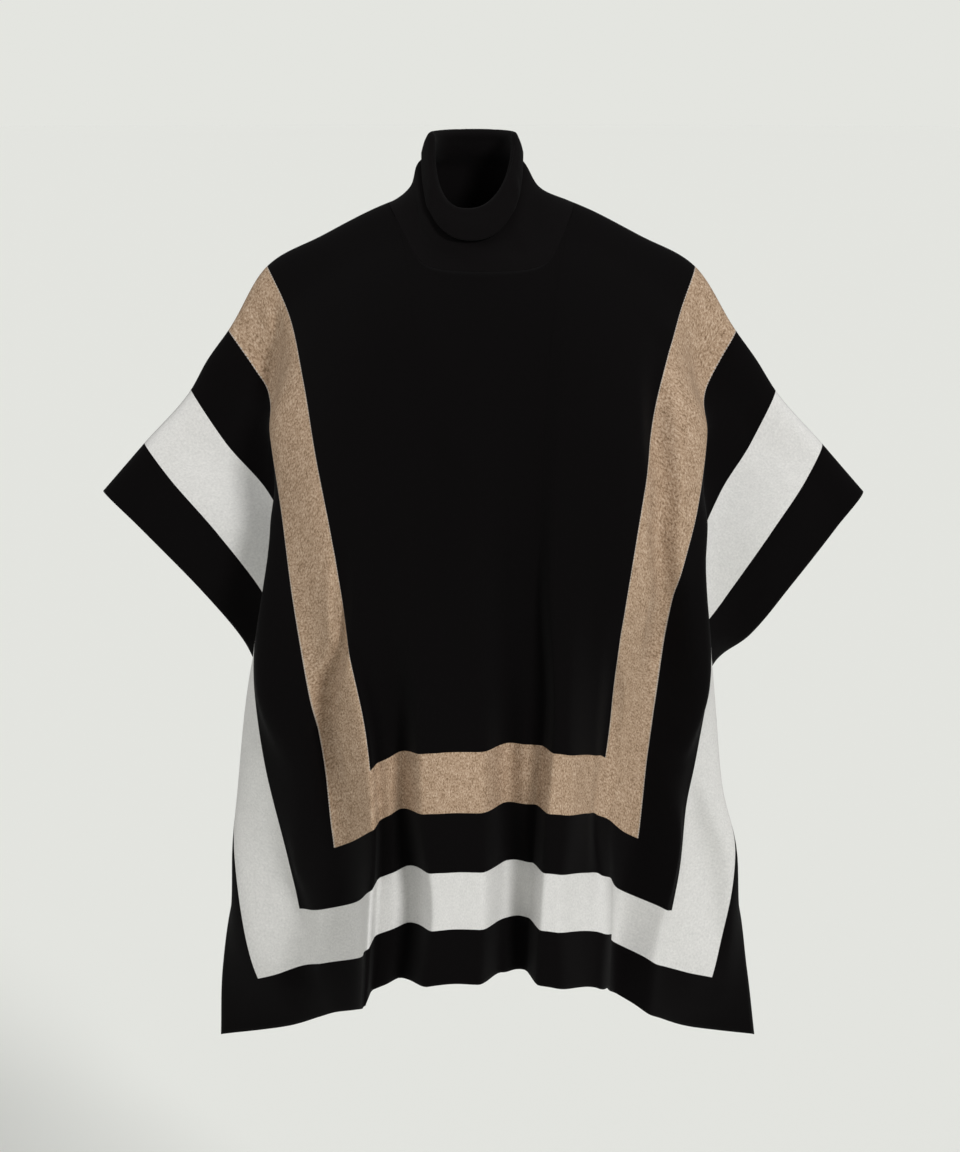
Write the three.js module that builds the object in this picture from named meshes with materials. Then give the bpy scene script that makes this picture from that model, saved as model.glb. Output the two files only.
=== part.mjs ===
import * as THREE from 'three';

// A knitted poncho with a roll neck, filled out as if worn and hollow: open at the neck, the hem and
// both sleeve ends. Millimetres, z up, the front faces -y, the origin is the middle of the neck at
// shoulder level. Front and back are one wide flat cut each; `across` runs out from the middle of a
// panel over the cloth and `level` is the share of the way from the shoulder seam down to the hem.

const wall = 2;
const seamGap = 0.3;
const underarmLevel = 0.39;

// The flat cut: how far across the cloth each knitted line lies.
const cut = { middle: 0, neck: 92, shoulder: 165, camel: 238, gap: 315, fold: 349, white: 383, border: 453, edge: 513 };
const neckDrop = { front: 0.078, back: 0.023 };

// One row per level. Each line of the cut is placed as [out, front, back, up]: its distance out from the
// middle, where the front and the back panel lie in depth, and its height. The body as far as the camel line
// sways by `lean`, the three outer lines by `swing`, and the two between them by the mean of both.
const sections = [
  { level: 0.00, lean: -4, swing: -2, middle: [0, -28, 48, 24], neck: [91, 0, 0, 0],
    shoulder: [156, 0, 0, -32], camel: [210, 0, 0, -62], gap: [250, 0, 0, -125], fold: [271, 0, 0, -154],
    white: [289, 0, 0, -184], border: [336, 0, 0, -237], edge: [378, 0, 0, -285] },
  { level: 0.08, lean: -1, swing: 3, middle: [0, -76, 80, -64], neck: [78, -47, 58, -38],
    shoulder: [139, -45, 51, -64], camel: [190, -42, 46, -105], gap: [216, -24, 36, -179],
    fold: [242, -19, 32, -197], white: [260, -18, 32, -233], border: [315, -18, 30, -270],
    edge: [346, -12, 22, -320] },
  { level: 0.18, lean: -2, swing: 9, middle: [0, -111, 104, -137], neck: [68, -97, 94, -102],
    shoulder: [123, -94, 87, -122], camel: [173, -88, 78, -164], gap: [212, -66, 60, -221],
    fold: [208, -47, 46, -250], white: [222, -35, 40, -282], border: [272, -29, 44, -325],
    edge: [295, -15, 34, -379] },
  { level: 0.29, lean: -2, swing: 10, middle: [0, -134, 116, -217], neck: [60, -125, 110, -184],
    shoulder: [110, -128, 105, -200], camel: [159, -124, 98, -237], gap: [200, -97, 84, -293],
    fold: [212, -80, 74, -307], white: [199, -59, 56, -338], border: [226, -21, 46, -393],
    edge: [256, -3, 34, -430] },
  { level: 0.39, lean: -1, swing: 0, middle: [0, -142, 122, -291], neck: [55, -136, 118, -260],
    shoulder: [101, -139, 115, -275], camel: [145, -139, 110, -312], gap: [187, -107, 92, -362],
    fold: [212, -92, 86, -358], white: [217, -76, 70, -392], border: [203, -26, 48, -441],
    edge: [233, 22, 22, -463] },
  { level: 0.52, lean: -1, swing: -3, middle: [0, -145, 128, -387], neck: [54, -142, 125, -364],
    shoulder: [92, -142, 124, -379], camel: [131, -140, 120, -413], gap: [173, -99, 98, -450],
    fold: [216, -91, 92, -474], white: [225, -63, 82, -456], border: [226, -4, 58, -476],
    edge: [196, 27, 27, -544] },
  { level: 0.65, lean: 5, swing: -5, middle: [0, -143, 134, -475], neck: [54, -146, 132, -473],
    shoulder: [83, -142, 131, -483], camel: [120, -132, 128, -505], gap: [161, -82, 104, -539],
    fold: [189, -70, 96, -562], white: [214, -48, 88, -553], border: [244, -2, 66, -583],
    edge: [212, 34, 34, -627] },
  { level: 0.78, lean: 4, swing: 0, middle: [0, -145, 140, -581], neck: [47, -146, 138, -581],
    shoulder: [82, -142, 137, -588], camel: [112, -132, 136, -606], gap: [150, -73, 112, -643],
    fold: [186, -54, 102, -658], white: [197, -32, 92, -660], border: [255, 6, 74, -664],
    edge: [257, 44, 44, -704] },
  { level: 0.90, lean: 5, swing: 0, middle: [0, -143, 146, -674], neck: [41, -143, 144, -674],
    shoulder: [74, -141, 143, -680], camel: [118, -134, 142, -698], gap: [134, -70, 118, -730],
    fold: [163, -43, 106, -743], white: [182, -21, 94, -753], border: [239, 12, 78, -777],
    edge: [273, 51, 51, -795] },
  { level: 1.00, lean: 1, swing: 3, middle: [0, -143, 150, -751], neck: [40, -141, 148, -751],
    shoulder: [81, -141, 148, -758], camel: [118, -137, 146, -773], gap: [133, -71, 122, -800],
    fold: [154, -42, 108, -812], white: [171, -16, 95, -825], border: [212, 26, 80, -850],
    edge: [279, 53, 53, -867] },
];

// Hanging folds: a trough at `at` across the cloth, `half` wide to each side, sinking `depth` into the
// body at the hem and fading out upwards between `full` and `from`. Each wall takes a share of the half.
const folds = [
  { panel: 'front', at: -181, half: 58, depth: 41, from: 0.36, full: 1, left: 0.25, right: 0.95 },
  { panel: 'front', at: 47, half: 67, depth: 39, from: 0.09, full: 0.94, left: 0.84, right: 0.4 },
  { panel: 'front', at: 223, half: 80, depth: 44, from: 0.4, full: 0.76, left: 1, right: 0.77 },
  { panel: 'front', at: 300, half: 77, depth: 57, from: 0.32, full: 1, left: 1, right: 1 },
  { panel: 'back', at: -190, half: 58, depth: 38, from: 0.2, full: 0.9, left: 0.7, right: 0.9 },
  { panel: 'back', at: -62, half: 54, depth: 30, from: 0.12, full: 0.95, left: 1, right: 0.8 },
  { panel: 'back', at: 84, half: 60, depth: 42, from: 0.14, full: 0.9, left: 0.7, right: 0.8 },
  { panel: 'back', at: 205, half: 46, depth: 28, from: 0.25, full: 0.85, left: 0.9, right: 1 },
  { panel: 'back', at: -350, half: 56, depth: 22, from: 0.5, full: 0.9, left: 1, right: 1 },
  { panel: 'back', at: 350, half: 56, depth: 24, from: 0.5, full: 0.9, left: 1, right: 1 },
];

// The roll neck, ring by ring up its base, in under the roll, over the rim and down to the turned edge:
// half width, depth of the front and back, height of the front, sides and back, how far the whole ring
// and its front lean sideways, and how steeply it dips from the sides (`drop`, 1 is an oval).
const rings = [
  { half: 52, front: -62, back: 52, frontUp: -38, sideUp: 39, backUp: 36, lean: -13.5, frontLean: 0, drop: 0.8 },
  { half: 43, front: -54, back: 45, frontUp: -26, sideUp: 48, backUp: 47, lean: -12.5, frontLean: -1, drop: 0.8 },
  { half: 39.5, front: -45, back: 43, frontUp: -13, sideUp: 58, backUp: 58, lean: -11.5, frontLean: -4, drop: 0.84 },
  { half: 39, front: -43, back: 43, frontUp: -6, sideUp: 62, backUp: 65, lean: -11.5, frontLean: -5, drop: 0.88 },
  { half: 41, front: -47, back: 47, frontUp: -5, sideUp: 66, backUp: 68, lean: -12, frontLean: -5, drop: 0.88 },
  { half: 44, front: -53, back: 50, frontUp: -12, sideUp: 61, backUp: 61, lean: -12.5, frontLean: -4, drop: 0.86 },
  { half: 46.5, front: -59, back: 51, frontUp: -22, sideUp: 54, backUp: 53, lean: -12.5, frontLean: -3, drop: 0.82 },
  { half: 48, front: -64, back: 52, frontUp: -33, sideUp: 48, backUp: 45, lean: -12.5, frontLean: -1, drop: 0.8 },
];
const neckStand = 7;
const neckGap = 0.35;
// How many rows of the grid each length of the neck is drawn in, from the seam to the turned edge.
const neckRows = [1, 2, 1, 2, 2, 1, 1, 1, 1, 2];

// A smooth curve through knots: slopes from the neighbours, the first slope may be given.
const curve = (knots, values, at, firstSlope) => {
  const last = knots.length - 1;
  let k = 0;
  while (k < last - 1 && at > knots[k + 1]) k++;
  const step = (i) => (values[i + 1] - values[i]) / (knots[i + 1] - knots[i]);
  const slope = (i) => {
    if (i === 0) return firstSlope ?? step(0);
    if (i === last) return step(last - 1);
    const before = knots[i] - knots[i - 1], after = knots[i + 1] - knots[i];
    return (step(i - 1) * after + step(i) * before) / (before + after);
  };
  const h = knots[k + 1] - knots[k], u = (at - knots[k]) / h;
  return values[k] * (1 + 2 * u) * (1 - u) ** 2 + slope(k) * h * u * (1 - u) ** 2
    + values[k + 1] * u * u * (3 - 2 * u) + slope(k + 1) * h * u * u * (u - 1);
};

const ease = (u) => { const c = Math.min(1, Math.max(0, u)); return c * c * (3 - 2 * c); };
const lines = Object.keys(cut);
const levels = sections.map((row) => row.level);
const underarm = levels.indexOf(underarmLevel);
const half = Object.values(cut);
const knotsAcross = [...half.slice(1).reverse().map((a) => -a), ...half];

// A point on the outer face of a panel.
const panelPoint = (panel, across, level) => {
  const depthAt = panel === 'front' ? 1 : 2;
  const inward = panel === 'front' ? 1 : -1;
  const startSlope = -inward * 620;
  const read = (line, i, first) => {
    const skip = line === 'edge' && level >= underarmLevel ? underarm : 0;
    return curve(levels.slice(skip), sections.slice(skip).map((row) => row[line][i]), level, skip ? undefined : first);
  };
  const out = lines.map((line) => read(line, 0, line === 'middle' ? undefined : 0));
  const deep = lines.map((line) => read(line, depthAt, line === 'middle' ? undefined : startSlope));
  const up = lines.map((line) => read(line, 3, line === 'middle' ? undefined : 0));
  const lean = curve(levels, sections.map((row) => row.lean), level);
  const swing = curve(levels, sections.map((row) => row.swing), level);
  const sway = lines.map((line) => {
    if (['white', 'border', 'edge'].includes(line)) return swing;
    return ['gap', 'fold'].includes(line) ? (lean + swing) / 2 : lean;
  });
  const both = (list, sign) => [...list.slice(1).reverse().map((a) => a * sign), ...list];
  const x = both(out, -1).map((a, i) => a + both(sway, 1)[i]);
  const point = new THREE.Vector3(curve(knotsAcross, x, across), curve(knotsAcross, both(deep, 1), across),
    curve(knotsAcross, both(up, 1), across));
  for (const fold of folds.filter((row) => row.panel === panel)) {
    const u = (across - fold.at) / fold.half;
    const strength = ease((level - fold.from) / (fold.full - fold.from));
    if (Math.abs(u) >= 1 || strength === 0) continue;
    point.y += inward * fold.depth * strength * ease((1 - Math.abs(u)) / (u < 0 ? fold.left : fold.right));
  }
  return point;
};

const panelNormal = (panel, across, level) => {
  const a = Math.min(Math.max(across, 0.5 - cut.edge), cut.edge - 0.5);
  const l = Math.min(Math.max(level, 0), 0.999);
  const side = panelPoint(panel, a + 0.5, l).sub(panelPoint(panel, a - 0.5, l));
  const down = panelPoint(panel, a, l + 0.001).sub(panelPoint(panel, a, l));
  const normal = down.cross(side).normalize();
  return panel === 'front' ? normal : normal.negate();
};

// A closed solid from two matching grids of points, the outer face and the inner face.
const shell = (name, outer, inner, closedAcross, colour) => {
  const rows = outer.length, columns = outer[0].length;
  
  const at = (face, r, c) => face * rows * columns + r * columns + (c % columns);
  const index = [];
  const points = [...outer.flat(), ...inner.flat()];
  const quad = (a, b, c, d) => (points[a].distanceTo(points[c]) <= points[b].distanceTo(points[d])
    ? index.push(a, b, c, a, c, d) : index.push(a, b, d, b, c, d));
  const spans = closedAcross ? columns : columns - 1;
  for (let r = 0; r < rows - 1; r++) for (let c = 0; c < spans; c++) {
    quad(at(0, r, c), at(0, r + 1, c), at(0, r + 1, c + 1), at(0, r, c + 1));
    quad(at(1, r, c), at(1, r, c + 1), at(1, r + 1, c + 1), at(1, r + 1, c));
  }
  for (let c = 0; c < spans; c++) {
    quad(at(0, 0, c), at(0, 0, c + 1), at(1, 0, c + 1), at(1, 0, c));
    quad(at(0, rows - 1, c + 1), at(0, rows - 1, c), at(1, rows - 1, c), at(1, rows - 1, c + 1));
  }
  if (!closedAcross) for (let r = 0; r < rows - 1; r++) {
    quad(at(0, r + 1, 0), at(0, r, 0), at(1, r, 0), at(1, r + 1, 0));
    quad(at(0, r, columns - 1), at(0, r + 1, columns - 1), at(1, r + 1, columns - 1), at(1, r, columns - 1));
  }
  const geometry = new THREE.BufferGeometry();
  geometry.setAttribute('position', new THREE.Float32BufferAttribute(points.flatMap((p) => [p.x, p.y, p.z]), 3));
  geometry.setIndex(index);
  geometry.computeVertexNormals();
  const mesh = new THREE.Mesh(geometry, new THREE.MeshStandardMaterial({ color: colour, roughness: 0.9 }));
  mesh.name = name;
  return mesh;
};

// Where the grid of a panel is drawn: even angles over the neck, even steps from line to line beyond it.
const neckSteps = 12;
const neckColumns = Array.from({ length: neckSteps + 1 }, (_, k) => -cut.neck * Math.cos(Math.PI * k / neckSteps));
const sideSteps = { shoulder: 4, camel: 4, gap: 4, fold: 2, white: 2, border: 3, edge: 3 };
const sideColumns = [];
lines.slice(2).forEach((line, i) => {
  const start = cut[lines[i + 1]], count = sideSteps[line];
  for (let k = 1; k <= count; k++) sideColumns.push(start + (cut[line] - start) * k / count);
});
const columns = [...sideColumns.map((a) => -a).reverse(), ...neckColumns, ...sideColumns];
const rows = [0, 0.02, 0.045, 0.08, 0.12, 0.165, 0.21, 0.25, 0.29, 0.33, 0.36, underarmLevel, 0.45, 0.52, 0.585,
  0.65, 0.715, 0.78, 0.84, 0.9, 0.95, 1];

const levelAt = (panel, across, row) => {
  const u = across / cut.neck;
  const scoop = 1 + 0.62 * Math.min(1, u * u) * (1.6 - Math.min(1, u * u));
  const start = neckDrop[panel] * scoop * Math.sqrt(Math.max(0, 1 - u ** 10));
  return start + (1 - start) * row;
};

const panelShell = (panel) => {
  const sign = panel === 'front' ? -1 : 1;
  const outer = [], inner = [];
  for (const row of rows) {
    const outerRow = [], innerRow = [];
    for (const across of columns) {
      const level = levelAt(panel, across, row);
      const point = panelPoint(panel, across, level);
      const under = point.clone().addScaledVector(panelNormal(panel, across, level), -wall);
      const onTop = row === 0 && Math.abs(across) >= cut.neck - 1e-6;
      const onSide = Math.abs(across) === cut.edge && row >= underarmLevel;
      if (onTop) { point.y = sign * seamGap / 2; under.y = point.y; }
      if (onSide) {
        const seam = point.y + sign * seamGap / 2;
        point.y = seam;
        const along = point.clone().sub(panelPoint(panel, across - Math.sign(across) * 4, level));
        if ((under.y - seam) * sign < 0) under.addScaledVector(along, (seam - under.y) / along.y);
      }
      outerRow.push(point);
      innerRow.push(under);
    }
    outer.push(outerRow);
    inner.push(innerRow);
  }
  return { outer, inner };
};

// The roll neck starts edge to edge with both panels along the neck seam.
const neckSeam = () => {
  const ring = [];
  for (let k = 0; k < 2 * neckSteps; k++) {
    const panel = k <= neckSteps ? 'front' : 'back';
    const across = neckColumns[k <= neckSteps ? k : 2 * neckSteps - k];
    const level = levelAt(panel, across, 0);
    ring.push({ point: panelPoint(panel, across, level), normal: panelNormal(panel, across, level) });
  }
  const count = ring.length;
  return ring.map(({ point, normal }, k) => {
    const tangent = ring[(k + 1) % count].point.clone().sub(ring[(k - 1 + count) % count].point);
    const inward = normal.clone().cross(tangent).normalize();
    if (inward.dot(new THREE.Vector3(-point.x, -point.y, 30)) < 0) inward.negate();
    return { point, normal, inward };
  });
};

const ringPoint = (ring, k) => {
  const angle = Math.PI * k / neckSteps;
  const c = -Math.cos(angle), s = -Math.sin(angle);
  const round = (a) => Math.sign(a) * Math.abs(a) ** 0.86;
  const deep = round(s) < 0 ? -round(s) * ring.front : round(s) * ring.back;
  const end = s < 0 ? ring.frontUp : ring.backUp;
  const lean = ring.lean + (s < 0 ? ring.frontLean * Math.abs(s) ** 1.5 : 0);
  return new THREE.Vector3(lean + ring.half * round(c), deep,
    ring.sideUp + (end - ring.sideUp) * Math.abs(s) ** ring.drop);
};

const rollNeck = () => {
  const seam = neckSeam();
  const grid = seam.map(({ point, inward }, k) => {
    const start = point.clone().addScaledVector(inward, neckGap);
    const stand = point.clone().addScaledVector(inward, neckGap + neckStand);
    const ovals = rings.map((ring) => ringPoint(ring, k));
    const flare = stand.clone().lerp(ovals[0], 0.5);
    const beside = Math.cos(Math.PI * k / neckSteps) ** 2;
    flare.x += (ovals[0].x - stand.x) * 0.16 * beside;
    flare.z -= (ovals[0].z - stand.z) * 0.14 * beside;
    const stops = [start, stand, flare, ...ovals];
    const run = [0];
    for (let i = 1; i < stops.length; i++) run.push(run[i - 1] + stops[i].distanceTo(stops[i - 1]));
    const stations = [0];
    neckRows.forEach((count, i) => {
      for (let j = 1; j <= count; j++) stations.push(run[i] + (run[i + 1] - run[i]) * j / count);
    });
    return stations.map((at) => new THREE.Vector3(...['x', 'y', 'z'].map((axis) =>
      curve(run, stops.map((p) => p[axis]), at, inward[axis]))));
  });
  const count = grid.length;
  const outer = [], inner = [];
  grid[0].forEach((_, r) => {
    outer.push(grid.map((column) => column[r]));
    inner.push(grid.map((column, k) => {
      if (r === 0) return column[0].clone().addScaledVector(seam[k].normal, -wall);
      const along = grid[(k + 1) % count][r].clone().sub(grid[(k - 1 + count) % count][r]);
      const rise = column[Math.min(r + 1, column.length - 1)].clone().sub(column[r - 1]);
      const normal = along.cross(rise).normalize();
      return column[r].clone().addScaledVector(normal, -wall);
    }));
  });
  return { outer, inner };
};

const group = new THREE.Group();
group.name = 'knitted_poncho';
const turned = (grid) => grid.map((row) => [...row].reverse());
const cloth = 0x141213;
const front = panelShell('front'), back = panelShell('back'), neck = rollNeck();
group.add(shell('front_panel', front.outer, front.inner, false, cloth));
group.add(shell('back_panel', turned(back.outer), turned(back.inner), false, cloth));
group.add(shell('roll_neck', turned(neck.outer), turned(neck.inner), true, cloth));

export default group;
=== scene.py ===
"""A knitted poncho with a roll neck, filled out and hollow. Metres, z up, the front faces -y."""
import math
from functools import lru_cache

import bmesh
import bpy
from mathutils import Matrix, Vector, noise


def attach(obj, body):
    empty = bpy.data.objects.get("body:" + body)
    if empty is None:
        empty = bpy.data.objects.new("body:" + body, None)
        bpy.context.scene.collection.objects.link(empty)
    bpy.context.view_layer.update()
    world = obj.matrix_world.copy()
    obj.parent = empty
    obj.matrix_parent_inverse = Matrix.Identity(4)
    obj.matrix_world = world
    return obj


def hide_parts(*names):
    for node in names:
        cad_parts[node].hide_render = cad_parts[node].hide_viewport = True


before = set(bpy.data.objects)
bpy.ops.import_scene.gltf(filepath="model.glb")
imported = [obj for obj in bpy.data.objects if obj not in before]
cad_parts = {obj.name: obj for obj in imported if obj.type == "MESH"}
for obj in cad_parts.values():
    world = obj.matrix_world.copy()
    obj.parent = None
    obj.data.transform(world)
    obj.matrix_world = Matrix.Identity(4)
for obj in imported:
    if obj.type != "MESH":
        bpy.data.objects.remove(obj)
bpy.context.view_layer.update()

# ---- Front panel ----------------------------------------------------------------------------------
# One wide flat piece of fine wool jersey, black with a camel, black, off-white and black frame knitted
# in along both ends and the bottom. It hangs from the shoulders and fills out over the chest.
# Lengths are in millimetres, and levels run from 0 at the shoulder to 1 at the hem.
MM = 0.001
cloth_wall = 2.0
seam_gap = 0.06
underarm_level = 0.39
hem_length = 787.0
outward = {"front": -1, "back": 1}
tiny = 1e-6
# The cut is this much shorter for each millimetre out from the neck, and the hung cloth leaves the
# shoulder seam at this depth to a whole level.
shoulder_slope = 0.16
shoulder_fall = 620.0

# How far across the cloth each knitted line lies, out from the middle of the panel.
cut = {"middle": 0, "neck": 92, "shoulder": 165, "camel": 238, "gap": 315, "fold": 349, "white": 383,
       "border": 453, "edge": 513}
# How high above the hem each knitted line of the frame lies.
frame_up = {"border": 57, "white": 116, "gap": 176, "camel": 233}
# How deep the neck is scooped in the middle, and how full the scoop is to each side of it.
neck_drop = {"front": 0.078, "back": 0.023}
scoop_full, scoop_turn, scoop_corner = 0.62, 1.6, 10

# Where each line hangs at each level, as (out, depth of the front, depth of the back, height). The
# lines as far as the camel one lean sideways by `lean`, the three outer ones by `swing`, the two
# between by the mean of both.
sections = [
    dict(level=0.00, lean=-4, swing=-2, middle=(0, -28, 48, 24), neck=(91, 0, 0, 0),
         shoulder=(156, 0, 0, -32), camel=(210, 0, 0, -62), gap=(250, 0, 0, -125),
         fold=(271, 0, 0, -154), white=(289, 0, 0, -184), border=(336, 0, 0, -237),
         edge=(378, 0, 0, -285)),
    dict(level=0.08, lean=-1, swing=3, middle=(0, -76, 80, -64), neck=(78, -47, 58, -38),
         shoulder=(139, -45, 51, -64), camel=(190, -42, 46, -105), gap=(216, -24, 36, -179),
         fold=(242, -19, 32, -197), white=(260, -18, 32, -233), border=(315, -18, 30, -270),
         edge=(346, -12, 22, -320)),
    dict(level=0.18, lean=-2, swing=9, middle=(0, -111, 104, -137), neck=(68, -97, 94, -102),
         shoulder=(123, -94, 87, -122), camel=(173, -88, 78, -164), gap=(212, -66, 60, -221),
         fold=(208, -47, 46, -250), white=(222, -35, 40, -282), border=(272, -29, 44, -325),
         edge=(295, -15, 34, -379)),
    dict(level=0.29, lean=-2, swing=10, middle=(0, -134, 116, -217), neck=(60, -125, 110, -184),
         shoulder=(110, -128, 105, -200), camel=(159, -124, 98, -237), gap=(200, -97, 84, -293),
         fold=(212, -80, 74, -307), white=(199, -59, 56, -338), border=(226, -21, 46, -393),
         edge=(256, -3, 34, -430)),
    dict(level=0.39, lean=-1, swing=0, middle=(0, -142, 122, -291), neck=(55, -136, 118, -260),
         shoulder=(101, -139, 115, -275), camel=(145, -139, 110, -312), gap=(187, -107, 92, -362),
         fold=(212, -92, 86, -358), white=(217, -76, 70, -392), border=(203, -26, 48, -441),
         edge=(233, 22, 22, -463)),
    dict(level=0.52, lean=-1, swing=-3, middle=(0, -145, 128, -387), neck=(54, -142, 125, -364),
         shoulder=(92, -142, 124, -379), camel=(131, -140, 120, -413), gap=(173, -99, 98, -450),
         fold=(216, -91, 92, -474), white=(225, -63, 82, -456), border=(226, -4, 58, -476),
         edge=(196, 27, 27, -544)),
    dict(level=0.65, lean=5, swing=-5, middle=(0, -143, 134, -475), neck=(54, -146, 132, -473),
         shoulder=(83, -142, 131, -483), camel=(120, -132, 128, -505), gap=(161, -82, 104, -539),
         fold=(189, -70, 96, -562), white=(214, -48, 88, -553), border=(244, -2, 66, -583),
         edge=(212, 34, 34, -627)),
    dict(level=0.78, lean=4, swing=0, middle=(0, -145, 140, -581), neck=(47, -146, 138, -581),
         shoulder=(82, -142, 137, -588), camel=(112, -132, 136, -606), gap=(150, -73, 112, -643),
         fold=(186, -54, 102, -658), white=(197, -32, 92, -660), border=(255, 6, 74, -664),
         edge=(257, 44, 44, -704)),
    dict(level=0.90, lean=5, swing=0, middle=(0, -143, 146, -674), neck=(41, -143, 144, -674),
         shoulder=(74, -141, 143, -680), camel=(118, -134, 142, -698), gap=(134, -70, 118, -730),
         fold=(163, -43, 106, -743), white=(182, -21, 94, -753), border=(239, 12, 78, -777),
         edge=(273, 51, 51, -795)),
    dict(level=1.00, lean=1, swing=3, middle=(0, -143, 150, -751), neck=(40, -141, 148, -751),
         shoulder=(81, -141, 148, -758), camel=(118, -137, 146, -773), gap=(133, -71, 122, -800),
         fold=(154, -42, 108, -812), white=(171, -16, 95, -825), border=(212, 26, 80, -850),
         edge=(279, 53, 53, -867)),
]

# Hanging folds: a trough at `at` across the cloth, `half` wide each way and `depth` deep at the hem,
# fading out upwards from level `full` to level `start`. Each wall takes its share of the half.
folds = [
    dict(side="front", at=-181, half=58, depth=41, start=0.36, full=1.00, left=0.25, right=0.95),
    dict(side="front", at=47, half=67, depth=39, start=0.09, full=0.94, left=0.84, right=0.40),
    dict(side="front", at=223, half=80, depth=44, start=0.40, full=0.76, left=1.00, right=0.77),
    dict(side="front", at=300, half=77, depth=57, start=0.32, full=1.00, left=1.00, right=1.00),
    dict(side="back", at=-190, half=58, depth=38, start=0.20, full=0.90, left=0.70, right=0.90),
    dict(side="back", at=-62, half=54, depth=30, start=0.12, full=0.95, left=1.00, right=0.80),
    dict(side="back", at=84, half=60, depth=42, start=0.14, full=0.90, left=0.70, right=0.80),
    dict(side="back", at=205, half=46, depth=28, start=0.25, full=0.85, left=0.90, right=1.00),
    dict(side="back", at=-350, half=56, depth=22, start=0.50, full=0.90, left=1.00, right=1.00),
    dict(side="back", at=350, half=56, depth=24, start=0.50, full=0.90, left=1.00, right=1.00),
]


def curve(knots, values, at, first_slope=None):
    """A smooth curve through knots, with its slopes taken from the neighbours."""
    last = len(knots) - 1
    k = 0
    while k < last - 1 and at > knots[k + 1]:
        k += 1

    def step(i):
        return (values[i + 1] - values[i]) / (knots[i + 1] - knots[i])

    def slope(i):
        if i == 0:
            return step(0) if first_slope is None else first_slope
        if i == last:
            return step(last - 1)
        before, after = knots[i] - knots[i - 1], knots[i + 1] - knots[i]
        return (step(i - 1) * after + step(i) * before) / (before + after)

    h = knots[k + 1] - knots[k]
    u = (at - knots[k]) / h
    return (values[k] * (1 + 2 * u) * (1 - u) ** 2 + slope(k) * h * u * (1 - u) ** 2
            + values[k + 1] * u * u * (3 - 2 * u) + slope(k + 1) * h * u * u * (u - 1))


def ease(u):
    u = min(1.0, max(0.0, u))
    return u * u * (3 - 2 * u)


lines = list(cut)
levels = [row["level"] for row in sections]
underarm = levels.index(underarm_level)
knots_across = [-a for a in reversed(list(cut.values())[1:])] + list(cut.values())


@lru_cache(maxsize=None)
def hung_lines(side, level):
    """Where every line of the cut hangs at one level, from the left edge to the right one."""
    depth = 1 if side == "front" else 2

    def read(line, i, first):
        skip = underarm if line == "edge" and level >= underarm_level else 0
        values = [row[line][i] for row in sections[skip:]]
        return curve(levels[skip:], values, level, None if skip or line == "middle" else first)

    out = [read(line, 0, 0.0) for line in lines]
    deep = [read(line, depth, outward[side] * shoulder_fall) for line in lines]
    up = [read(line, 3, 0.0) for line in lines]
    lean = curve(levels, [row["lean"] for row in sections], level)
    swing = curve(levels, [row["swing"] for row in sections], level)
    between = (lean + swing) / 2
    moved = {"gap": between, "fold": between, "white": swing, "border": swing, "edge": swing}
    sway = [moved.get(line, lean) for line in lines]
    left = [s - a for a, s in zip(out[:0:-1], sway[:0:-1])]
    right = [a + s for a, s in zip(out, sway)]
    return left + right, deep[:0:-1] + deep, up[:0:-1] + up


def hang(side, across, level):
    """A point on the outer face of a panel, in millimetres."""
    x, y, z = (curve(knots_across, values, across) for values in hung_lines(side, level))
    for fold in folds:
        u = (across - fold["at"]) / fold["half"]
        strength = ease((level - fold["start"]) / (fold["full"] - fold["start"]))
        if fold["side"] == side and abs(u) < 1:
            wall = fold["left"] if u < 0 else fold["right"]
            y -= outward[side] * fold["depth"] * strength * ease((1 - abs(u)) / wall)
    return Vector((x, y, z))


def level_at(side, across, row):
    """The level of a row of the cloth: the rows bend down round the neck opening."""
    u = across / cut["neck"]
    out = min(1.0, u * u)
    scoop = 1 + scoop_full * out * (scoop_turn - out)
    start = neck_drop[side] * scoop * math.sqrt(max(0.0, 1 - u ** scoop_corner))
    return start + (1 - start) * row


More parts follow.
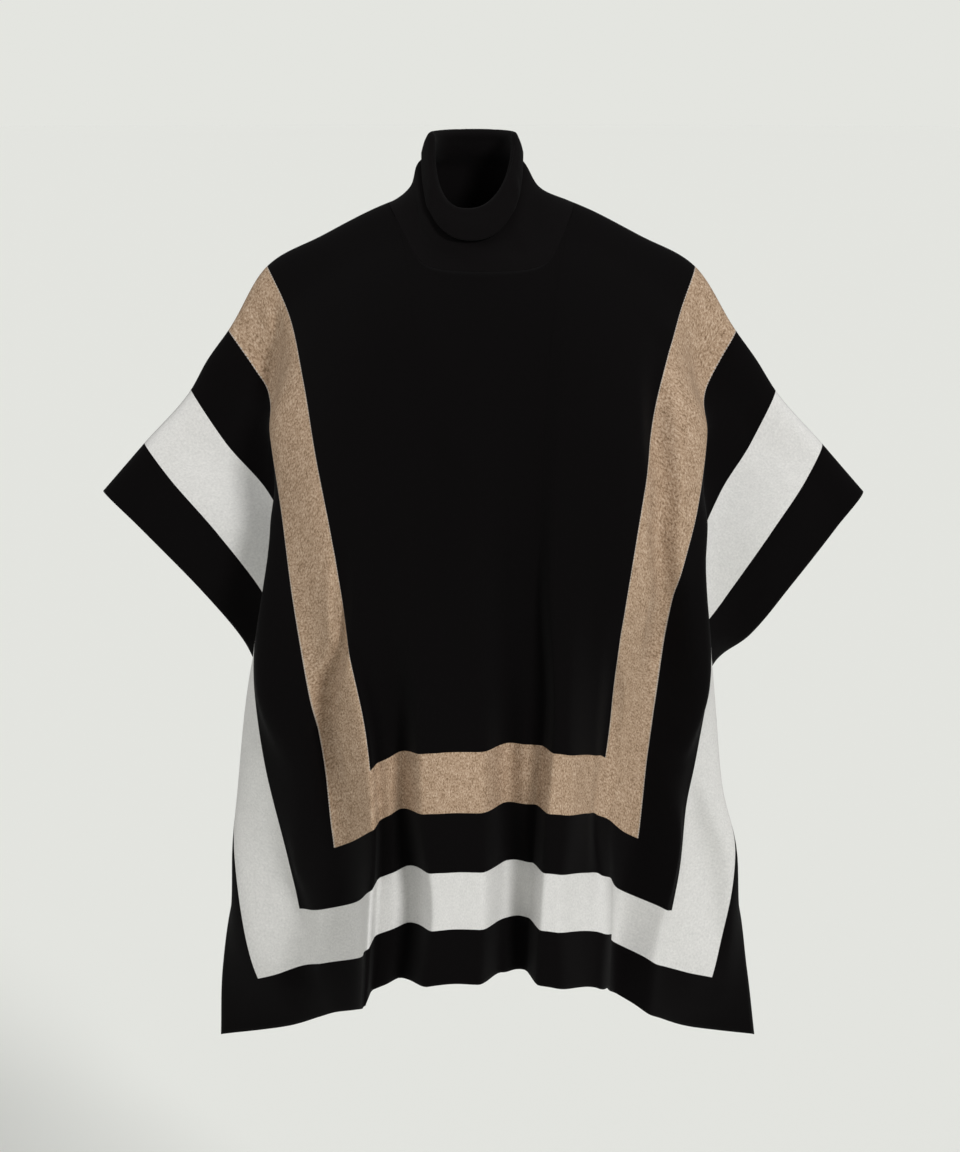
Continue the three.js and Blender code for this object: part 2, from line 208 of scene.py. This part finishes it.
# Softer creases, laid along a path of (across, level): `width` to each side, standing out by
# `rise`, a trough where it is negative. Each fades over a share of its length at both ends.
creases = [
    dict(side="front", path=[(-246, 0.055), (-270, 0.075), (-302, 0.068), (-322, 0.09)],
         width=15, rise=-8),
    dict(side="front", path=[(-228, 0.42), (-252, 0.513), (-288, 0.55), (-306, 0.613), (-302, 0.75)],
         width=24, rise=-20),
    dict(side="front", path=[(-358, 0.78), (-405, 0.96)], width=34, rise=-8),
    dict(side="front", path=[(226, 0.15), (248, 0.263), (266, 0.312), (272, 0.35), (302, 0.413),
                             (322, 0.58)], width=30, rise=-22),
    dict(side="front", path=[(236, 0.52), (234, 0.65), (236, 0.70), (230, 0.78), (224, 0.90)],
         width=30, rise=-15),
    dict(side="front", path=[(356, 0.64), (396, 0.738), (441, 0.875), (452, 0.93)],
         width=30, rise=-12),
    dict(side="front", path=[(290, 0.015), (316, 0.05)], width=14, rise=-4),
    dict(side="front", path=[(-174, 0.62), (-164, 0.79), (-162, 1.00)], width=38, rise=-11),
    dict(side="front", path=[(14, 0.62), (38, 0.80), (78, 1.00)], width=34, rise=-9),
    dict(side="front", path=[(-60, 0.30), (-84, 0.55)], width=40, rise=-4),
    dict(side="back", path=[(-262, 0.22), (-290, 0.45), (-330, 0.64)], width=34, rise=-12),
    dict(side="back", path=[(252, 0.30), (284, 0.50), (300, 0.70)], width=32, rise=-13),
    dict(side="back", path=[(388, 0.70), (430, 0.90)], width=30, rise=-9),
    dict(side="back", path=[(-384, 0.68), (-412, 0.88)], width=32, rise=-9),
    dict(side="back", path=[(22, 0.34), (8, 0.62)], width=42, rise=-5),
    dict(side="back", path=[(300, 0.06), (286, 0.20)], width=18, rise=-6),
]
fading_share, end_strength = 0.25, 0.25


def crease_rise(side, across, level):
    """How far the listed creases lift the cloth here; they fade out over their ends."""
    here = Vector((across, level * hem_length))
    total = 0.0
    for row in creases:
        if row["side"] != side:
            continue
        path = [Vector((a, at * hem_length)) for a, at in row["path"]]
        whole = sum((q - p).length for p, q in zip(path, path[1:]))
        done, nearest, share = 0.0, 1e9, 0.0
        for p, q in zip(path, path[1:]):
            along = min(1.0, max(0.0, (here - p).dot(q - p) / (q - p).length_squared))
            off = (here - p.lerp(q, along)).length
            if off < nearest:
                nearest, share = off, (done + along * (q - p).length) / whole
            done += (q - p).length
        if nearest < row["width"]:
            ends = 1.0 if path[-1].y >= hem_length - 1 else ease((1 - share) / fading_share)
            ends *= ease(share / fading_share)
            strength = end_strength + (1 - end_strength) * ends
            total += row["rise"] * strength * (1 - (nearest / row["width"]) ** 2) ** 2
    return total


# The unevenness of hanging wool, a broad waver and a finer one, in millimetres.
waver_across, waver_down, waver_of = 0.011, 5.2, {"front": 3.0, "back": 9.0}
broad_waver, fine_waver, finer = 1.5, 0.6, 2.7
# How far from a seam the cloth is held still: levels below the shoulder and the neck, millimetres
# beside the side seam, and levels above the underarm.
held_below, held_beside, held_above = 0.05, 22, 0.02
sideways_share = 0.25


def cloth_rise(side, across, level):
    """Creases and the slight unevenness of hanging wool, none of it at the seams."""
    top = 0.0 if abs(across) > cut["neck"] else level_at(side, across, 0)
    free = ease((level - top) / held_below)
    if level >= underarm_level - held_above:
        free *= ease((cut["edge"] - abs(across)) / held_beside)
    place = Vector((across * waver_across, level * waver_down, waver_of[side]))
    waver = broad_waver * noise.noise(place) + fine_waver * noise.noise(place * finer)
    return free * (crease_rise(side, across, level) + waver)


neck_columns = 40
side_columns = 90
columns = neck_columns + 2 * side_columns
rows_down = 168


def across_at(column):
    """How far across the cloth a column of the grid lies: even, and by even angles round the neck."""
    k = column - side_columns
    if 0 <= k <= neck_columns:
        return -cut["neck"] * math.cos(math.pi * k / neck_columns)
    beyond = -k if k < 0 else k - neck_columns
    out = cut["neck"] + (cut["edge"] - cut["neck"]) * beyond / side_columns
    return -out if k < 0 else out


def second_face(bm, wall):
    """Copies a cloth to its other face, `wall` behind it, and pairs the points of the two."""
    outer = list(bm.verts)
    copy = bmesh.ops.duplicate(bm, geom=bm.verts[:] + bm.edges[:] + bm.faces[:])
    faces = [f for f in copy["geom"] if isinstance(f, bmesh.types.BMFace)]
    bmesh.ops.reverse_faces(bm, faces=faces)
    twin = {v: copy["vert_map"][v] for v in outer}
    for v, under in twin.items():
        under.co = v.co - v.normal * wall
    return twin


def close_rims(bm, outer, inner):
    """Joins the two faces of a cloth round their rims into one thin closed piece."""
    rims = [[e for e in bm.edges if e.is_boundary and all(v in layer for v in e.verts)]
            for layer in (outer, inner)]
    bmesh.ops.bridge_loops(bm, edges=rims[0] + rims[1])
    bmesh.ops.recalc_face_normals(bm, faces=bm.faces)


def put_in_scene(name, data):
    thing = bpy.data.objects.new(name, data)
    bpy.context.scene.collection.objects.link(thing)
    return thing


def as_piece(name, bm):
    """Turns a finished shape into a piece of the scene."""
    mesh = bpy.data.meshes.new(name)
    bm.to_mesh(mesh)
    bm.free()
    return put_in_scene(name, mesh)


def panel(name, side):
    """Cuts a panel flat, hangs it and gives it its thickness."""
    bm = bmesh.new()
    bmesh.ops.create_grid(bm, x_segments=columns, y_segments=rows_down, size=0.5)
    place = {}
    for v in bm.verts:
        column, row = round((v.co.x + 0.5) * columns), 0.5 - v.co.y
        across = across_at(column)
        level = level_at(side, across, row)
        place[v] = (across, level, row < tiny)
        v.co = hang(side, across, level)
    if side == "back":
        bmesh.ops.reverse_faces(bm, faces=bm.faces)
    bm.normal_update()
    # mostly in depth, so that the stripes keep their line
    for v in bm.verts:
        way = Vector((sideways_share * v.normal.x, v.normal.y, sideways_share * v.normal.z))
        v.co += way * cloth_rise(side, *place[v][:2])
    bm.normal_update()

    twin = second_face(bm, cloth_wall)
    seam = outward[side] * seam_gap / 2
    for v, under in twin.items():
        across, level, on_top = place[under] = place[v]
        joined_side = level >= underarm_level - tiny
        if on_top and abs(across) >= cut["neck"] - tiny:
            v.co.y = under.co.y = seam
        elif joined_side and abs(across) > cut["edge"] - tiny:
            v.co.y += seam
        if joined_side:
            edge = hang(side, math.copysign(cut["edge"], across), level).y + seam
            if (under.co.y - edge) * outward[side] < 0:
                under.co.y = edge
    close_rims(bm, set(twin), set(twin.values()))

    cut_map = bm.loops.layers.uv.new("cut")
    for face in bm.faces:
        face.smooth = True
        for loop in face.loops:
            across, level, _ = place[loop.vert]
            length = hem_length - shoulder_slope * max(0.0, abs(across) - cut["neck"])
            loop[cut_map].uv = (across * MM, (1 - level) * length * MM)
    bmesh.ops.scale(bm, vec=(MM, MM, MM), verts=bm.verts)
    return as_piece(name, bm)


def add(tree, kind, *feed, **settings):
    """One node, its inputs filled in order by a link, a value or None."""
    node = tree.nodes.new("ShaderNode" + kind)
    for setting, value in settings.items():
        setattr(node, setting, value)
    for socket, value in zip(node.inputs, feed):
        if isinstance(value, bpy.types.NodeSocket):
            tree.links.new(value, socket)
        elif value is not None:
            socket.default_value = value
    return node


def sums(tree, operation, *feed):
    return add(tree, "Math", *feed, operation=operation).outputs[0]


def blend(tree, share, first, second):
    """Mixes two colours."""
    node = add(tree, "Mix", share, data_type="RGBA")
    for socket, value in ((node.inputs[6], first), (node.inputs[7], second)):
        if isinstance(value, bpy.types.NodeSocket):
            tree.links.new(value, socket)
        else:
            socket.default_value = (*value, 1)
    return node.outputs[2]


black_wool = (0.0020, 0.0016, 0.0017)
camel_dark, camel_mid, camel_light = (0.13, 0.078, 0.044), (0.35, 0.245, 0.163), (0.58, 0.45, 0.34)
off_white, white_shade = (0.68, 0.672, 0.65), (0.50, 0.495, 0.482)
join_thread = (0.40, 0.36, 0.32)
# The jersey stitch: its width and height, the slant of its legs and how round they are.
wale, course = 1.7, 1.35
leg_slant, leg_round = 1.3, 0.6
# How fine the hairs, the flecks and the clouds of the wool are.
fuzz_scale, fleck_scale, cloud_scale, nap_scale = 900.0, 420.0, 90.0, 260.0
# How much of the relief is stitches and hairs, how strong it is, and its height in metres.
stitch_relief, hair_relief, relief_strength, relief_height = 0.7, 0.6, 0.35, 0.00025
# The thread that shows between two colours: its place beside the line, its half width and its share.
join_inset, join_half, join_share = 0.3, 0.6, 0.35


def knit_stitches(tree, across, up):
    """The height of plain jersey: rows of small Vs, one above the other."""
    column = sums(tree, "DIVIDE", across, wale * MM)
    middle = sums(tree, "ABSOLUTE", sums(tree, "SUBTRACT", sums(tree, "FRACT", column), 0.5))
    slant = sums(tree, "MULTIPLY_ADD", middle, -leg_slant, sums(tree, "DIVIDE", up, course * MM))
    loop = sums(tree, "ABSOLUTE", sums(tree, "SINE", sums(tree, "MULTIPLY", slant, math.pi)))
    leg = sums(tree, "SINE", sums(tree, "MULTIPLY", middle, 2 * math.pi))
    rounded = sums(tree, "POWER", loop, leg_round)
    return sums(tree, "MULTIPLY", rounded, sums(tree, "ABSOLUTE", leg))


def wool(name, paint, fluff):
    """Fine wool jersey. `paint` returns the colour from the place on the flat cut."""
    material = bpy.data.materials.new(name)
    material.use_nodes = True
    tree = material.node_tree
    shader = tree.nodes["Principled BSDF"]
    flat = add(tree, "UVMap", uv_map="cut").outputs[0]
    parts = add(tree, "SeparateXYZ", flat).outputs
    across, up = parts[0], parts[1]
    tree.links.new(paint(tree, flat, across, up), shader.inputs["Base Color"])
    stitches = knit_stitches(tree, across, up)
    fuzz = add(tree, "TexNoise", flat, None, fuzz_scale, 3.0, 0.6).outputs[0]
    relief = sums(tree, "ADD", sums(tree, "MULTIPLY", stitches, stitch_relief),
                  sums(tree, "MULTIPLY", fuzz, hair_relief))
    bump = add(tree, "Bump", relief_strength, relief_height)
    tree.links.new(relief, bump.inputs["Height"])
    tree.links.new(bump.outputs[0], shader.inputs["Normal"])
    rough = add(tree, "MapRange", fuzz, 0.2, 0.8, 0.82, 0.98).outputs[0]
    tree.links.new(rough, shader.inputs["Roughness"])
    shader.inputs["Specular IOR Level"].default_value = 0.04
    shader.inputs["Sheen Weight"].default_value = fluff
    shader.inputs["Sheen Roughness"].default_value = 0.55
    return material


def banded(tree, flat, across, up):
    """The colours of the cut: each band of the frame lies outside the one before it."""
    out = sums(tree, "ABSOLUTE", across)
    fleck = add(tree, "TexNoise", flat, None, fleck_scale, 4.0, 0.7).outputs[0]
    cloud = add(tree, "TexNoise", flat, None, cloud_scale, 3.0, 0.6).outputs[0]
    mottle = sums(tree, "ADD", sums(tree, "MULTIPLY", fleck, 0.8),
                  sums(tree, "MULTIPLY", cloud, 0.2))
    ramp = add(tree, "ValToRGB", mottle)
    stops = ramp.color_ramp.elements
    stops[0].position, stops[0].color = 0.34, (*camel_dark, 1)
    stops[1].position, stops[1].color = 0.66, (*camel_light, 1)
    stops.new(0.5).color = (*camel_mid, 1)
    camel = ramp.outputs[0]
    paleness = add(tree, "MapRange", mottle, 0.3, 0.7, 0.0, 1.0).outputs[0]
    white = blend(tree, paleness, white_shade, off_white)
    every_other = sums(tree, "FRACT", sums(tree, "DIVIDE", up, 2 * course * MM))
    dots = sums(tree, "GREATER_THAN", every_other, join_share)

    def beyond(line):
        return sums(tree, "MAXIMUM", sums(tree, "GREATER_THAN", out, cut[line] * MM),
                    sums(tree, "LESS_THAN", up, frame_up[line] * MM))

    def join(line, beside):
        """The dotted wale of thread where two colours meet side by side, above the corner."""
        near = sums(tree, "COMPARE", out, (cut[line] + beside) * MM, join_half * MM)
        above = sums(tree, "GREATER_THAN", up, frame_up[line] * MM)
        return sums(tree, "MULTIPLY", sums(tree, "MULTIPLY", near, above), dots)

    colour = black_wool
    colour = blend(tree, beyond("camel"), colour, camel)
    colour = blend(tree, join("camel", join_inset), colour, join_thread)
    colour = blend(tree, beyond("gap"), colour, black_wool)
    colour = blend(tree, join("gap", -join_inset), colour, join_thread)
    colour = blend(tree, beyond("white"), colour, white)
    colour = blend(tree, beyond("border"), colour, black_wool)
    return colour


striped_jersey = wool("striped_jersey", banded, 0.015)
front = panel("front", "front")
front.data.materials.append(striped_jersey)
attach(front, "root")
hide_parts("front_panel")

# ---- Back panel -----------------------------------------------------------------------------------
# The same cut with a shallower neck, linked to the front along the shoulders and sleeve tops and down
# the sides below the arm slits. It hangs further out, over the shoulder blades.
back = panel("back", "back")
back.data.materials.append(striped_jersey)
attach(back, "root")
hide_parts("back_panel")

# ---- Roll neck ------------------------------------------------------------------------------------
# A tube of the same jersey, all black, linked into the neck opening. It stands as a soft funnel, and
# its upper half is rolled over outwards and down.
neck_gap = 0.12
neck_stand = 7.0
neck_round, neck_run = 370.0, 110.0
round_steps = 144
rows_each = 9
rim_stop = 7
# How much further the base spreads and dips at the two sides, between the seam and the first ring.
flare_out, flare_down = 0.16, 0.14
# How square the rings are at their corners, and how late their lean to the front sets in.
ring_corner, ring_lean = 0.86, 1.5

# Ring by ring up the base, in under the roll, over the rim and down to the turned edge.
rings = [
    dict(half=52, front=-62, back=52, front_up=-38,
         side_up=39, back_up=36, lean=-13.5, front_lean=0, drop=0.8),
    dict(half=43, front=-54, back=45, front_up=-26,
         side_up=48, back_up=47, lean=-12.5, front_lean=-1, drop=0.8),
    dict(half=39.5, front=-45, back=43, front_up=-13,
         side_up=58, back_up=58, lean=-11.5, front_lean=-4, drop=0.84),
    dict(half=39, front=-43, back=43, front_up=-6,
         side_up=62, back_up=65, lean=-11.5, front_lean=-5, drop=0.88),
    dict(half=41, front=-47, back=47, front_up=-5,
         side_up=66, back_up=68, lean=-12, front_lean=-5, drop=0.88),
    dict(half=44, front=-53, back=50, front_up=-12,
         side_up=61, back_up=61, lean=-12.5, front_lean=-4, drop=0.86),
    dict(half=46.5, front=-59, back=51, front_up=-22,
         side_up=54, back_up=53, lean=-12.5, front_lean=-3, drop=0.82),
    dict(half=48, front=-64, back=52, front_up=-33,
         side_up=48, back_up=45, lean=-12.5, front_lean=-1, drop=0.8),
]
spans = len(rings) + 2

# Creases down the neck at a `turn` round it (0.25 is the front), between two stops of its run from the
# seam (0) over the rim (7) to the turned edge (10). They fade over `crease_fade` stops at each end.
neck_creases = [
    dict(turn=0.095, start=7.4, end=10.6, width=0.024, rise=1.3),
    dict(turn=0.425, start=7.4, end=10.2, width=0.022, rise=1.7),
    dict(turn=0.395, start=8.6, end=10.6, width=0.018, rise=1.0),
    dict(turn=0.17, start=0.8, end=4.2, width=0.060, rise=-2.0),
    dict(turn=0.35, start=0.8, end=4.0, width=0.050, rise=-1.6),
    dict(turn=0.62, start=7.4, end=10.6, width=0.026, rise=1.4),
    dict(turn=0.80, start=0.8, end=4.2, width=0.055, rise=-2.4),
    dict(turn=0.88, start=7.4, end=10.4, width=0.020, rise=1.3),
]
crease_fade = 1.2
neck_waver, waver_round, waver_along = 0.5, 2, 0.5


def neck_rise(turn, stop):
    """How far the creases and the unevenness of the wool lift the neck, none of it at the seam."""
    angle = turn * 2 * math.pi
    total = neck_waver * noise.noise(Vector((math.cos(angle) * waver_round,
                                             math.sin(angle) * waver_round, stop * waver_along)))
    for row in neck_creases:
        off = abs((turn - row["turn"] + 0.5) % 1 - 0.5) / row["width"]
        ends = ease((stop - row["start"]) / crease_fade) * ease((row["end"] - stop) / crease_fade)
        total += row["rise"] * ends * max(0.0, 1 - off * off) ** 2
    return total * ease(stop / crease_fade)


def seam_point(k):
    """The neck seam at a step round it, with the panel's own normal there."""
    half = round_steps // 2
    side = "front" if k <= half else "back"
    step = k if k <= half else round_steps - k
    across = -cut["neck"] * math.cos(math.pi * step / half)
    level = level_at(side, across, 0)
    point = hang(side, across, level)
    inside = min(max(across, -cut["neck"] + 0.5), cut["neck"] - 0.5)
    beside = hang(side, inside + 0.5, level) - hang(side, inside - 0.5, level)
    down = hang(side, across, level + 0.001) - point
    normal = down.cross(beside).normalized()
    return point, normal if side == "front" else -normal


def ring_point(ring, k):
    """A ring of the roll at a step round it: a round-cornered oval that dips at the front."""
    angle = 2 * math.pi * k / round_steps
    c, s = -math.cos(angle), -math.sin(angle)
    wide = math.copysign(abs(c) ** ring_corner, c)
    deep = abs(s) ** ring_corner * (ring["front"] if s < 0 else ring["back"])
    end = ring["front_up"] if s < 0 else ring["back_up"]
    lean = ring["lean"] + (ring["front_lean"] * abs(s) ** ring_lean if s < 0 else 0)
    return Vector((lean + ring["half"] * wide, deep,
                   ring["side_up"] + (end - ring["side_up"]) * abs(s) ** ring["drop"]))


def neck_tube(name):
    """Knits the tube from the seam up and over."""
    seam = [seam_point(k) for k in range(round_steps)]
    run_lines = []
    for k, (point, normal) in enumerate(seam):
        beside = seam[(k + 1) % round_steps][0] - seam[k - 1][0]
        inward = normal.cross(beside).normalized()
        # up the neck and towards its middle
        if inward.dot(Vector((-point.x, -point.y, 30))) < 0:
            inward.negate()
        stops = [point + inward * neck_gap, point + inward * (neck_gap + neck_stand)]
        ovals = [ring_point(ring, k) for ring in rings]
        flare = stops[1].lerp(ovals[0], 0.5)
        at_side = math.cos(2 * math.pi * k / round_steps) ** 2
        flare.x += (ovals[0].x - stops[1].x) * flare_out * at_side
        flare.z -= (ovals[0].z - stops[1].z) * flare_down * at_side
        stops += [flare] + ovals
        run = [0.0]
        for before, after in zip(stops, stops[1:]):
            run.append(run[-1] + (after - before).length)
        run_lines.append((run, stops, inward))

    bm = bmesh.new()
    run_steps = rows_each * spans
    bmesh.ops.create_grid(bm, x_segments=round_steps, y_segments=run_steps, size=0.5)
    place = {}
    for v in bm.verts:
        k, row = round((v.co.x + 0.5) * round_steps), round((v.co.y + 0.5) * run_steps)
        run, stops, inward = run_lines[k % round_steps]
        span = min(row // rows_each, spans - 1)
        at = run[span] + (run[span + 1] - run[span]) * (row / rows_each - span)
        v.co = [curve(run, [p[i] for p in stops], at, inward[i]) for i in range(3)]
        place[v] = (k, at / run[-1], row / rows_each)
    cut_map = bm.loops.layers.uv.new("cut")
    for face in bm.faces:
        for loop in face.loops:
            k, share, _ = place[loop.vert]
            loop[cut_map].uv = (k / round_steps * neck_round * MM, share * neck_run * MM)
    bmesh.ops.remove_doubles(bm, verts=bm.verts, dist=0.001)
    bmesh.ops.recalc_face_normals(bm, faces=bm.faces)
    bm.normal_update()
    # the wall lies to the inside of the tube where it leaves the seam
    quarter = round_steps // 4
    stand = run_lines[quarter][1][1]
    first = min(bm.verts, key=lambda v: (v.co - stand).length)
    out = 1 if first.normal.dot(seam[quarter][1]) > 0 else -1
    for v in bm.verts:
        k, _, stop = place[v]
        # past the rim the cloth is turned over, and its other face looks out
        turned = 1 if stop < rim_stop else -1
        v.co += v.normal * out * neck_rise(k / round_steps, stop) * turned
    bm.normal_update()
    twin = second_face(bm, out * cloth_wall)
    for end in (0, spans):
        rim = {v for v in twin if place[v][2] == end}
        close_rims(bm, rim, {twin[v] for v in rim})
    for face in bm.faces:
        face.smooth = True
    bmesh.ops.scale(bm, vec=(MM, MM, MM), verts=bm.verts)
    return as_piece(name, bm)


def all_black(tree, flat, across, up):
    """Black wool, a shade lighter where the fibres stand up."""
    fluff = add(tree, "TexNoise", flat, None, nap_scale, 4.0, 0.7).outputs[0]
    return blend(tree, fluff, black_wool, tuple(c * 1.5 for c in black_wool))


roll = neck_tube("roll")
roll.data.materials.append(wool("black_jersey", all_black, 0.02))
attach(roll, "root")
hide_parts("roll_neck")

# ---- Floor, light and camera ----------------------------------------------------------------------
# A plain pale studio floor at standing height below the shoulders, soft light from the upper right
# and the photograph's view of the front.
pale = (0.775, 0.783, 0.745)
paper_colour = (0.868, 0.877, 0.835)
room_light = 0.28
floor_level = -1.45
bm = bmesh.new()
bmesh.ops.create_circle(bm, cap_ends=True, segments=96, radius=60)
bmesh.ops.translate(bm, vec=(0, 0, floor_level), verts=bm.verts)
floor = as_piece("floor", bm)
paper = bpy.data.materials.new("paper")
paper.use_nodes = True
surface = paper.node_tree.nodes["Principled BSDF"].inputs
surface["Base Color"].default_value = (*paper_colour, 1)
surface["Roughness"].default_value = 1.0
surface["Specular IOR Level"].default_value = 0.0
floor.data.materials.append(paper)

world = bpy.data.worlds.new("studio")
bpy.context.scene.world = world
world.use_nodes = True
air = world.node_tree
soft = air.nodes["Background"]
soft.inputs[0].default_value = (1, 1, 1, 1)
soft.inputs[1].default_value = room_light
seen = add(air, "Background", (*pale, 1), 1.0)
looking = add(air, "LightPath").outputs["Is Camera Ray"]
either = add(air, "MixShader", looking, soft.outputs[0], seen.outputs[0])
air.links.new(either.outputs[0], air.nodes["World Output"].inputs[0])

# Each light's strength and, in degrees, its spread, its turn to the right of the front and its height.
for light_name, strength, spread, turn, height in (
        ("key", 2.2, 14, 34, 26), ("fill", 0.8, 40, -60, 38), ("top", 0.45, 60, 0, 85)):
    sun = bpy.data.lights.new(light_name, "SUN")
    sun.energy, sun.angle = strength, math.radians(spread)
    lamp = put_in_scene(light_name, sun)
    a, e = math.radians(turn), math.radians(height)
    towards = Vector((math.sin(a) * math.cos(e), -math.cos(a) * math.cos(e), math.sin(e)))
    lamp.rotation_euler = towards.to_track_quat("Z", "Y").to_euler()

# Three metres away and tilted down ten degrees.
camera = put_in_scene("camera", bpy.data.cameras.new("camera"))
camera.data.lens, camera.data.sensor_width = 93.75, 36.0
camera.location = (-0.005, -2.9544, 0.1499)
camera.rotation_euler = (math.radians(80), 0, 0)
bpy.context.scene.camera = camera
bpy.context.scene.view_settings.view_transform = "Standard"
